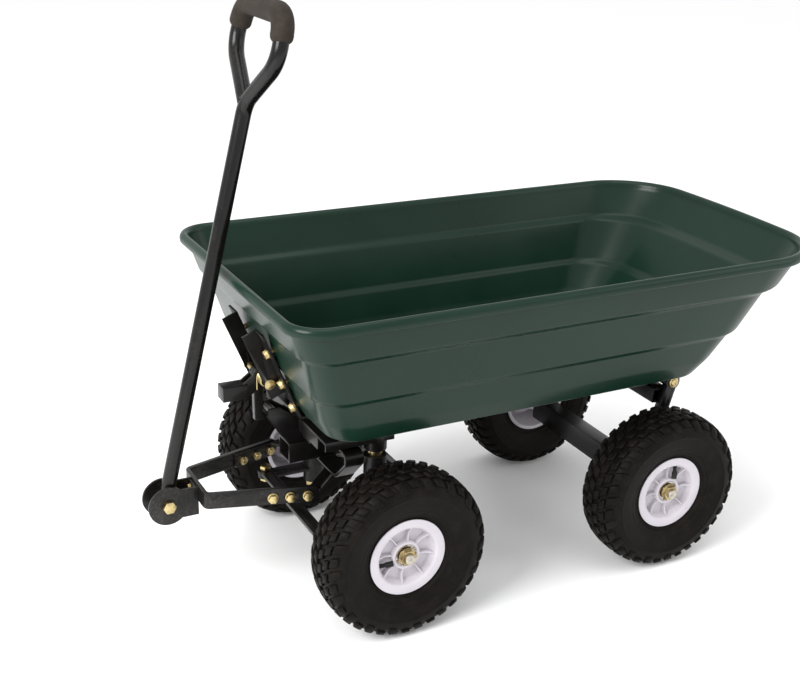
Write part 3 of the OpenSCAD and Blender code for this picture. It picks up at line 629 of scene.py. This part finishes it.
rim_pattern = turned_ring("rim_shell", [(r / 1000, y / 1000) for r, y in rim_outline], 96)
ease_edges(rim_pattern, 0.0007, 2, 24)
ribs = []
for k in range(rib_count):
    bpy.ops.object.select_all(action="DESELECT")
    bpy.ops.mesh.primitive_cube_add(size=1)
    rib = bpy.context.object
    bpy.ops.object.mode_set(mode="EDIT")
    bpy.ops.mesh.select_all(action="SELECT")
    bpy.ops.mesh.subdivide(number_cuts=1)
    bpy.ops.object.mode_set(mode="OBJECT")
    for vertex in rib.data.vertices:
        out = vertex.co.x + 0.5
        crest = crest_start + crest_rise * out - crest_sag * math.sin(math.pi * out)
        y = rib_foot if vertex.co.z < 0 else crest
        if abs(vertex.co.z) < 0.01:
            y = (rib_foot + crest) / 2
        wide = rib_foot_wide if vertex.co.z < 0 else rib_crest_wide
        vertex.co = (rib_start + rib_reach * out, y, vertex.co.y * wide)
    alone(rib)
    bpy.ops.object.mode_set(mode="EDIT")
    bpy.ops.mesh.select_all(action="SELECT")
    bpy.ops.mesh.normals_make_consistent(inside=False)
    bpy.ops.object.mode_set(mode="OBJECT")
    ease_edges(rib, 0.0004, 2, 40)
    rib.data.transform(Matrix.Rotation(math.radians(22.5 + 360 / rib_count * k), 4, "Y"))
    ribs.append(rib)
rim_pattern = joined("rim_pattern", [rim_pattern] + ribs)

material, shader, place = new_finish("rim_nylon", coat=0.15, coat_roughness=0.25)
shader.inputs["Subsurface Weight"].default_value = 0.06
shader.inputs["Subsurface Radius"].default_value = (0.004, 0.004, 0.005)
cloud = place.noise(30, 4).between(0.35, 0.8)
dirt = place.noise(150, 5, 0.7).between(0.60, 0.80)
(cloud * 0.16 + dirt * 0.3).tint(rim_white, rim_grey).to(shader, "Base Color")
(cloud * 0.12 + dirt * 0.2 + 0.3).to(shader, "Roughness")
(place.noise(700, 2) * 0.6 + place.noise(60, 3) * 0.4).bump(0.12, 0.0006).to(shader, "Normal")
rim_nylon = material
for spot in wheel_spots:
    piece = onto_axle(rim_pattern, "moulded_rim", spot)
    fitted(piece, "wheel_" + spot, "rim_white", rim_nylon, "rim_" + spot)
bpy.data.objects.remove(rim_pattern)

# ---------------------------------------------------------------- bearings
# A ball bearing in each end of a hub: hard ground races with a pressed shield between
# them, browned by grease.
bearing_outline = [(8.05, 12.2), (17.5, 12.2), (17.5, 23.0), (17.1, 23.8), (15.2, 23.8), (14.9, 23.2),
                   (14.7, 22.5), (11.4, 22.5), (11.2, 23.2), (10.9, 23.8), (8.6, 23.8), (8.05, 23.2)]
halves = []
for end in (1, -1):
    ring = turned_ring("race", [(r / 1000, y / 1000 * end) for r, y in bearing_outline], 64)
    bpy.ops.object.shade_smooth_by_angle(angle=math.radians(30))
    halves.append(ring)
bearing_pattern = joined("bearing_pattern", halves)
material, shader, place = new_finish("bearing_steel", metallic=1.0)
grease = place.noise(260, 4, 0.6).between(0.42, 0.62)
grease.tint((0.46, 0.45, 0.43, 1), (0.20, 0.13, 0.075, 1)).to(shader, "Base Color")
(grease * 0.22 + 0.24).to(shader, "Roughness")
place.noise(1200, 2).bump(0.15, 0.0003).to(shader, "Normal")
bearing_steel = material
for spot in wheel_spots:
    piece = onto_axle(bearing_pattern, "hub_bearings", spot)
    fitted(piece, "wheel_" + spot, "bearing_steel", bearing_steel, "bearings_" + spot)
bpy.data.objects.remove(bearing_pattern)

# ---------------------------------------------------------------- valves
# A snap-in rubber valve in each rim: a bulged foot, a slim stem and a ribbed black cap.
valve_outline = [(0, 0), (4.1, 0), (4.1, 3.5), (3.2, 5.5), (3.0, 12), (3.1, 14.5), (3.9, 14.8),
                 (4.1, 16), (4.1, 25), (3.7, 25.9), (0, 26)]
valve_sides = 56
cap_from, cap_to, cap_groove = 15, 25.5, 0.05
valve_seat = (0.047, 0, 0.016)
valve_lean = 66
valve_rings = []
for r, z in valve_outline:
    grooved = cap_groove if cap_from < z < cap_to else 0.0
    valve_rings.append([])
    for k in range(valve_sides):
        reach = max(r, 0.2) / 1000 * (1 - grooved * (k % 4 == 0))
        turn = 2 * math.pi * k / valve_sides
        valve_rings[-1].append(Vector((reach * math.cos(turn), reach * math.sin(turn), z / 1000)))
valve_pattern = lofted("valve_pattern", valve_rings)
bpy.ops.object.shade_smooth_by_angle(angle=math.radians(35))
lean = Matrix.Rotation(math.radians(-valve_lean), 4, "Y")
stand_up = Matrix.Rotation(math.radians(-90), 4, "X")
valve_pattern.data.transform(stand_up @ Matrix.Translation(valve_seat) @ lean)
for spot in wheel_spots:
    piece = onto_axle(valve_pattern, "tyre_valve", spot)
    fitted(piece, "wheel_" + spot, "black_rubber", pad_rubber, "valve_" + spot)
bpy.data.objects.remove(valve_pattern)

# ---------------------------------------------------------------- tray
# A tub rotationally moulded in dark green polyethylene, glossy and a little scuffed. Its
# wall steps out twice, the rear edge bows, and the rim is rolled over into a lip.
tub_low, tub_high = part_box("tray_tub")
lip_run = 0.0115
rear_bow = 0.014
wall_thick = 0.004
floor_z, rim_z = tub_low.z, tub_high.z
# rear, front, half width, rear corner radius, front corner radius, bow
floor_outline = (-0.316, 0.328, 0.180, 0.052, 0.042, 0.005)
rim_line = (tub_low.x + rear_bow + lip_run, tub_high.x - lip_run, tub_high.y - lip_run,
            0.108, 0.044, rear_bow)
corner_steps = 12
# height, how far the wall has spread from floor (0) to rim (1), growth outwards
wall_rows = [(floor_z + 0.003, 0.02, 0), (floor_z + 0.029, 0.18, 0), (floor_z + 0.070, 0.36, 0),
             (floor_z + 0.076, 0.44, 0), (rim_z - 0.066, 0.69, 0), (rim_z - 0.059, 0.82, 0)]
lip_rows = [(-0.013, 0), (-0.008, 0.0025), (-0.007, 0.006), (-0.0125, 0.0075), (-0.0155, 0.0095),
            (-0.013, 0.0115), (-0.006, 0.0115), (-0.0015, 0.0085), (0, 0.0045), (-0.0015, 0.0005),
            (-0.005, -0.0025)]
rows = [(floor_z, 0, -0.006)] + wall_rows + [(rim_z + z, 1, g) for z, g in lip_rows]
rows += [(rim_z - 0.012, 1, -wall_thick)]
rows += [(z + 0.001, spread, -wall_thick) for z, spread, g in reversed(wall_rows)]
rows += [(floor_z + wall_thick, 0, -wall_thick - 0.008)]
spread_run = 0.12


def row_length(a, b):
    return math.hypot(b[0] - a[0], spread_run * (b[1] - a[1]) + b[2] - a[2]) + 1e-9


def softened(rows, reach):
    """The wall's section with each corner turned into a short arc."""
    made = [rows[0]]
    for before, here, after in zip(rows, rows[1:], rows[2:]):
        back = min(0.45, reach / row_length(before, here))
        on = min(0.45, reach / row_length(here, after))
        a = tuple(h + (q - h) * back for h, q in zip(here, before))
        c = tuple(h + (q - h) * on for h, q in zip(here, after))
        for share in (0, 0.33, 0.67, 1):
            made.append(tuple((1 - share) ** 2 * p + 2 * share * (1 - share) * h + share ** 2 * q
                              for p, h, q in zip(a, here, c)))
    return made + [rows[-1]]


def tub_ring(height, spread, growth):
    rear, front, half, rear_r, front_r, bow = (
        a + (b - a) * spread for a, b in zip(floor_outline, rim_line))
    rear, front, half = rear - growth, front + growth, half + growth
    rear_r, front_r = rear_r + growth, front_r + growth
    spots = []
    for cx, cy, r, start in ((front - front_r, half - front_r, front_r, 0),
                             (rear + rear_r, half - rear_r, rear_r, 90),
                             (rear + rear_r, rear_r - half, rear_r, 180),
                             (front - front_r, front_r - half, front_r, 270)):
        for i in range(corner_steps + 1):
            turn = math.radians(start + 90 * i / corner_steps)
            spots.append((cx + r * math.cos(turn), cy + r * math.sin(turn)))
        if start in (0, 180):
            nxt = rear + rear_r if start == 0 else front - front_r
            last = spots[-1]
            spots += [(last[0] + (nxt - last[0]) * k / 8, last[1]) for k in range(1, 8)]
        if start == 90:
            last = spots[-1]
            spots += [(last[0], last[1] * (1 - 2 * k / 10)) for k in range(1, 10)]
    bowed = [(x - bow * (1 - (y / half) ** 2) * min(1, max(0, -x / 0.25)) if x < 0 else x, y)
             for x, y in spots]
    return [Vector((x, y, height)) for x, y in bowed]


tub = lofted("moulded_tub", [tub_ring(*row) for row in softened(rows, 0.0035)])
bpy.ops.object.shade_smooth_by_angle(angle=math.radians(50))
material, shader, place = new_finish("tray_poly", coat=0.12, coat_roughness=0.14, specular=0.16)
cloud = place.noise(7, 4).between(0.3, 0.75)
speck = place.noise(420, 2).between(0.62, 0.76)
scuff = place.stretched(1, 5, 9).noise(26, 6, 0.72).between(0.60, 0.78)
(cloud * 0.35 + speck * 0.12 + scuff * 0.4).tint((0.0032, 0.0170, 0.0095, 1),
                                                 (0.0080, 0.0300, 0.0185, 1)).to(shader, "Base Color")
(cloud * 0.08 + scuff * 0.22 + 0.27).to(shader, "Roughness")
(place.noise(480, 2) * 0.55 + place.noise(14, 2) * 0.45).bump(0.10, 0.0012).to(shader, "Normal")
tray_poly = material
fitted(tub, "tray", "tray_green", tray_poly, "tray_tub")

# ---------------------------------------------------------------- tray brackets and latch
# Two steel rails under the tub turn up its front, where cheeks on them carry the latch:
# a forked lever and a hook on one pin, with a coil spring of zinc plated wire beside them.
tray_enamel = black_enamel("tray_bracket_enamel", 0.26)
for node in ("tray_rail_left", "tray_rail_right", "tray_hinge_bar"):
    steelwork(node, "tray", "black_paint", tray_enamel, 0.0008)
for node in ("latch_lever", "latch_hook"):
    steelwork(node, "latch", "black_paint", tray_enamel, 0.001, 3)

pin_low, pin_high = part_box("latch_pin")
pin_mid = (pin_low + pin_high) / 2
coil_r, wire_r, coils = 0.008, 0.0013, 7
coil_start, coil_end = 0.0115, 0.0275
leg_down, leg_up = 0.019, 0.023
turn_steps = 18
wire = [Vector((pin_mid.x + coil_r, coil_start, pin_mid.z - leg_down * (1 - i / 4))) for i in range(4)]
for i in range(coils * turn_steps + 1):
    turn = 2 * math.pi * i / turn_steps
    wire.append(Vector((pin_mid.x + coil_r * math.cos(turn),
                        coil_start + (coil_end - coil_start) * i / (coils * turn_steps),
                        pin_mid.z + coil_r * math.sin(turn))))
wire += [Vector((pin_mid.x + coil_r, coil_end, pin_mid.z + leg_up * i / 4)) for i in range(1, 5)]
spring = lofted("latch_coil", rod_rings(wire, lambda i: wire_r, 10))
bpy.ops.object.shade_smooth_by_angle(angle=math.radians(50))
fitted(spring, "latch", "yellow_zinc", bolt_zinc, "latch_spring")

# ---------------------------------------------------------------- drawbar and steering
# A flat bar bent into a fork, bolted to the steering plate that turns on the nose tube's
# bolt; the drag link and tie rod carry its turn to the two knuckles.
# The steering parts' dust patches take a lighter, browner tone than the frame's: partly dust, partly
# painted highlight standing in for the light falling on the tops of the drawbar's arms.
steer_enamel_painted_lit = black_enamel("steering_enamel_painted_lit", 0.31, (0.048, 0.042, 0.036, 1))
for node in ("drawbar", "steering_plate"):
    steelwork(node, "tongue", "black_paint", steer_enamel_painted_lit, 0.0008)
steelwork("handle_yoke", "tongue", "black_paint", steer_enamel_painted_lit, 0.0011, 3)
steelwork("drag_link", "drag_link", "black_paint", steer_enamel_painted_lit, 0.0008)
steelwork("tie_rod", "tie_rod", "black_paint", steer_enamel_painted_lit, 0.0008)
for side in ("left", "right"):
    steelwork("knuckle_" + side, "knuckle_" + side, "black_paint", steer_enamel_painted_lit, 0.0009)
material, shader, place = new_finish("bushing_nylon")
stain = place.noise(200, 4).between(0.45, 0.75)
(stain * 0.5).tint((0.62, 0.60, 0.54, 1), (0.33, 0.30, 0.24, 1)).to(shader, "Base Color")
(stain * 0.2 + 0.4).to(shader, "Roughness")
place.noise(800, 2).bump(0.1, 0.0003).to(shader, "Normal")
steelwork("pivot_bushing", "tongue", "bushing_plastic", material, 0.0006)

# a bead runs round each stub axle's socket where it meets the kingpin's round post
socket_r, post_r = 0.0133, 0.017
for side, mark in (("left", 1), ("right", -1)):
    low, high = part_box("tyre_front_" + side)
    centre = (low + high) / 2
    ring = []
    for i in range(49):
        turn = i * math.pi / 24
        dx = socket_r * math.cos(turn)
        ring.append(Vector((centre.x + dx, mark * (kingpin[1] + math.sqrt(post_r ** 2 - dx ** 2)),
                            centre.z + socket_r * math.sin(turn))))
    bead_ring = weld_bead(ring)
    bead_ring.name = "knuckle_weld_" + side
    fitted(bead_ring, "knuckle_" + side, "black_paint", steer_enamel_painted_lit)

# ---------------------------------------------------------------- handle
# One steel tube: straight from an eye on the yoke's bolt, then bent round into a closed
# loop whose cut end is welded to the neck. Gloss black, with a few dull scuffs.
swing = next(j for j in frame["joints"] if j["name"] == "handle_swing")
pivot = Vector(swing["pos_m"])
handle_lean = math.radians(13.1)
tube_r, eye_r, eye_half = 0.011, 0.014, 0.0137
bolt_r = 0.00605
neck_turn, side_turn = math.radians(50), math.radians(60)
top_turn = math.pi / 2 - side_turn + neck_turn
# straight run, bend radius, turn
handle_steps = [(0.576, 0.035, neck_turn), (0.062, 0.045, -side_turn), (0.012, 0.028, -top_turn),
                (0.0914, 0.028, -top_turn), (0.012, 0.045, -side_turn), (0.076, 0, 0)]
bend_steps = 12
tilt = Matrix.Translation(pivot) @ Matrix.Rotation(-handle_lean, 4, "Y")


def tube_path(steps):
    """Points along the bent tube, and the number of the point where each step starts."""
    spot, heading = Vector((0, 0, 0)), 0.0
    path, starts = [], []
    for run, radius, turn in steps:
        starts.append(len(path))
        way = Vector((0, math.sin(heading), math.cos(heading)))
        count = max(2, int(run / 0.02))
        path += [tilt @ (spot + way * (run * k / count)) for k in range(count)]
        spot = spot + way * run
        if not turn:
            path.append(tilt @ spot)
            continue
        side = 1 if turn > 0 else -1
        centre = spot + Vector((0, math.cos(heading), -math.sin(heading))) * radius * side
        for k in range(bend_steps):
            angle = heading + turn * k / bend_steps
            path.append(tilt @ (centre - Vector((0, math.cos(angle), -math.sin(angle))) * radius * side))
        heading += turn
        spot = centre - Vector((0, math.cos(heading), -math.sin(heading))) * radius * side
    return path, starts


path, starts = tube_path(handle_steps)
tube = lofted("bent_tube", rod_rings(path, lambda i: tube_r, 32))
ease_edges(tube, 0.0008, 2, 50)
eye = turned_ring("eye", [(bolt_r, -eye_half), (eye_r - 0.001, -eye_half), (eye_r, 0.001 - eye_half),
                          (eye_r, eye_half - 0.001), (eye_r - 0.001, eye_half), (bolt_r, eye_half)], 48)
eye.data.transform(Matrix.Translation(pivot))
bpy.ops.object.shade_smooth_by_angle(angle=math.radians(35))
neck, end = path[starts[1] + 1], path[-1]
way = (end - path[-2]).normalized()
toward = (neck - end - way * (neck - end).dot(way)).normalized()
closing = weld_bead([end + tube_r * (toward * math.cos(k / 10) + way.cross(toward) * math.sin(k / 10))
                     for k in range(-14, 15)])
handle = joined("loop_handle", [tube, eye, closing])
handle_enamel = black_enamel("handle_enamel", 0.16)
fitted(handle, "handle", "black_paint", handle_enamel, "handle_tube")

# ---------------------------------------------------------------- foam grip
# A sleeve of closed-cell foam pushed over the loop's top, dark brown-grey and matt, soft
# enough that its ends round over and its bends wrinkle a little.
grip_r = 0.0155
sleeve_path = path[starts[2]:starts[4] + 3]
fine = []
for a, b in zip(sleeve_path, sleeve_path[1:]):
    fine += [a.lerp(b, k / 3) for k in range(3)]
fine.append(sleeve_path[-1])
fine_count = len(fine)


def fine_girth(i):
    from_end = min(i, fine_count - 1 - i)
    rounding = (0.76, 0.88, 0.95, 0.985, 1.0)[min(from_end, 4)]
    wrinkle = math.sin(i * 1.7) * math.sin(i * 0.31) ** 2
    return grip_r * rounding * (1 - 0.006 + 0.006 * wrinkle)


grip = lofted("foam_sleeve", rod_rings(fine, fine_girth, 40))
bpy.ops.object.shade_smooth_by_angle(angle=math.radians(60))
material, shader, place = new_finish("grip_foam", specular=0.08)
shader.inputs["Sheen Weight"].default_value = 0.03
pores = place.cells(1500).between(0.0, 0.55)
cloud = place.noise(90, 4).between(0.35, 0.7)
foam_tone = (pores * 0.5 + cloud * 0.5).tint((0.0150, 0.0120, 0.0098, 1), (0.0360, 0.0290, 0.0240, 1))
foam_tone.to(shader, "Base Color")
(cloud * 0.1 + 0.78).to(shader, "Roughness")
(pores * 0.7 + place.noise(300, 3) * 0.5).bump(0.5, 0.0006).to(shader, "Normal")
fitted(grip, "handle", "foam", material, "foam_grip")
